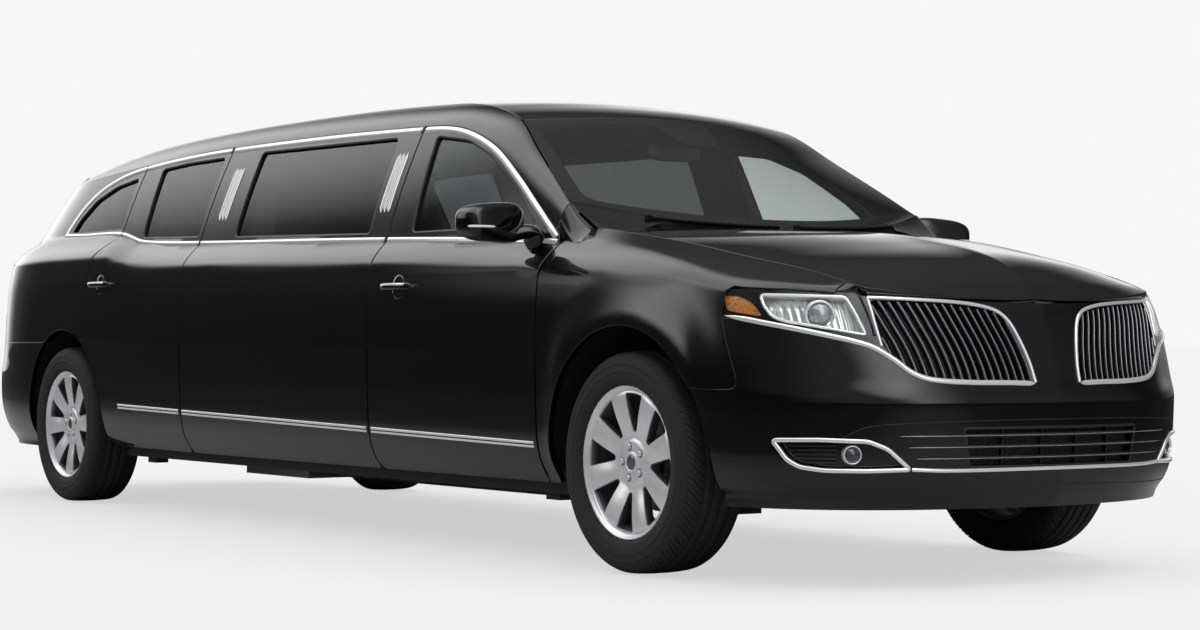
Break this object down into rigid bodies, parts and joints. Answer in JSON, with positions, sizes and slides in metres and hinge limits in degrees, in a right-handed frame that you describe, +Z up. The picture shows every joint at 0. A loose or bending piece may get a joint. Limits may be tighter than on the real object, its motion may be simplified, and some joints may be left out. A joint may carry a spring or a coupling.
{
  "type": "stretch limousine",
  "caption": "Long black passenger car with an extended wall between front and rear side doors, opening doors, bonnet and tailgate, steered front wheels and rolling wheels.",
  "frame": {"origin": "on the ground under the middle of the vehicle's box", "axes": "+X forward to the nose, +Y to the vehicle's left, +Z up"},
  "size_m": [6.96, 2.2728, 1.75],
  "materials": {
    "body_paint": "gloss",
    "underbody": "satin",
    "engine": "cast",
    "exhaust_steel": "brushed",
    "bright_trim": "polished",
    "dark_trim": "matte",
    "lamp_clear": "gloss",
    "lamp_red": "gloss",
    "glass_light": "polished",
    "glass_dark": "polished",
    "cabin_plastic": "matte",
    "seat_leather": "satin",
    "tyre": "matte",
    "alloy": "satin",
    "brake_iron": "machined"
  },
  "bodies": {
    "body": {"floor_pan": "underbody", "engine_block": "engine", "front_subframe": "underbody", "rear_axle": "underbody", "exhaust": "exhaust_steel", "front_fascia": "body_paint", "grille": "bright_trim", "lower_grille": "dark_trim", "headlamps": "lamp_clear", "fog_lamps": "lamp_clear", "front_fenders": "body_paint", "stretch_panels": "body_paint", "rear_quarters": "body_paint", "cant_rails": "body_paint", "roof_panel": "body_paint", "windscreen": "glass_light", "side_glass": "glass_dark", "cowl": "dark_trim", "wipers": "dark_trim", "rear_bumper": "body_paint", "tail_lamps": "lamp_red", "dashboard": "cabin_plastic", "front_seats": "seat_leather", "rear_seats": "seat_leather"},
    "hood": {"hood": "body_paint"},
    "tailgate": {"tailgate": "body_paint", "tailgate_glass": "glass_dark"},
    "door_fl": {"door_front_left": "body_paint", "glass_front_left": "glass_light", "mirror_left": "body_paint"},
    "door_fr": {"door_front_right": "body_paint", "glass_front_right": "glass_light", "mirror_right": "body_paint"},
    "door_rl": {"door_rear_left": "body_paint", "glass_rear_left": "glass_dark"},
    "door_rr": {"door_rear_right": "body_paint", "glass_rear_right": "glass_dark"},
    "steering_wheel": {"steering_wheel": "cabin_plastic"},
    "knuckle_l": {"knuckle_left": "brake_iron"},
    "knuckle_r": {"knuckle_right": "brake_iron"},
    "wheel_fl": {"tyre_fl": "tyre", "rim_fl": "alloy", "hub_fl": "brake_iron"},
    "wheel_fr": {"tyre_fr": "tyre", "rim_fr": "alloy", "hub_fr": "brake_iron"},
    "wheel_rl": {"tyre_rl": "tyre", "rim_rl": "alloy", "hub_rl": "brake_iron"},
    "wheel_rr": {"tyre_rr": "tyre", "rim_rr": "alloy", "hub_rr": "brake_iron"}
  },
  "joints": [
    {"name": "steer_left", "type": "hinge", "parent": "body", "child": "knuckle_l", "pos_m": [2.42, 0.745, 0.2], "axis": [0, 0, 1], "range_deg": [-34, 34]},
    {"name": "steer_right", "type": "hinge", "parent": "body", "child": "knuckle_r", "pos_m": [2.42, -0.745, 0.2], "axis": [0, 0, 1], "range_deg": [-34, 34]},
    {"name": "steering_wheel_turn", "type": "hinge", "parent": "body", "child": "steering_wheel", "pos_m": [1.7, -0.38, 0.96], "axis": [-0.9063, 0, 0.4226], "range_deg": [-511, 511]},
    {"name": "spin_fl", "type": "hinge", "parent": "knuckle_l", "child": "wheel_fl", "pos_m": [2.42, 0.827, 0.369], "axis": [0, 1, 0], "continuous": true},
    {"name": "spin_fr", "type": "hinge", "parent": "knuckle_r", "child": "wheel_fr", "pos_m": [2.42, -0.827, 0.369], "axis": [0, 1, 0], "continuous": true},
    {"name": "spin_rl", "type": "hinge", "parent": "body", "child": "wheel_rl", "pos_m": [-2.26, 0.827, 0.369], "axis": [0, 1, 0], "continuous": true},
    {"name": "spin_rr", "type": "hinge", "parent": "body", "child": "wheel_rr", "pos_m": [-2.26, -0.827, 0.369], "axis": [0, 1, 0], "continuous": true},
    {"name": "door_fl_swing", "type": "hinge", "parent": "body", "child": "door_fl", "pos_m": [1.775, 0.93622, 0.72], "axis": [0, 0, -1], "range_deg": [0, 65]},
    {"name": "door_fr_swing", "type": "hinge", "parent": "body", "child": "door_fr", "pos_m": [1.775, -0.93622, 0.72], "axis": [0, 0, 1], "range_deg": [0, 65]},
    {"name": "door_rl_swing", "type": "hinge", "parent": "body", "child": "door_rl", "pos_m": [-1.07, 0.94435, 0.72], "axis": [0, 0, -1], "range_deg": [0, 65]},
    {"name": "door_rr_swing", "type": "hinge", "parent": "body", "child": "door_rr", "pos_m": [-1.07, -0.94435, 0.72], "axis": [0, 0, 1], "range_deg": [0, 65]},
    {"name": "hood_lift", "type": "hinge", "parent": "body", "child": "hood", "pos_m": [2.068, 0, 1.13], "axis": [0, -1, 0], "range_deg": [0, 45]},
    {"name": "tailgate_lift", "type": "hinge", "parent": "body", "child": "tailgate", "pos_m": [-2.75375, 0, 1.643], "axis": [0, 1, 0], "range_deg": [0, 80]}
  ],
  "couplings": [
    {"joint": "steer_right", "follows": "steer_left", "ratio": 1},
    {"joint": "steering_wheel_turn", "follows": "steer_left", "ratio": 15}
  ]
}
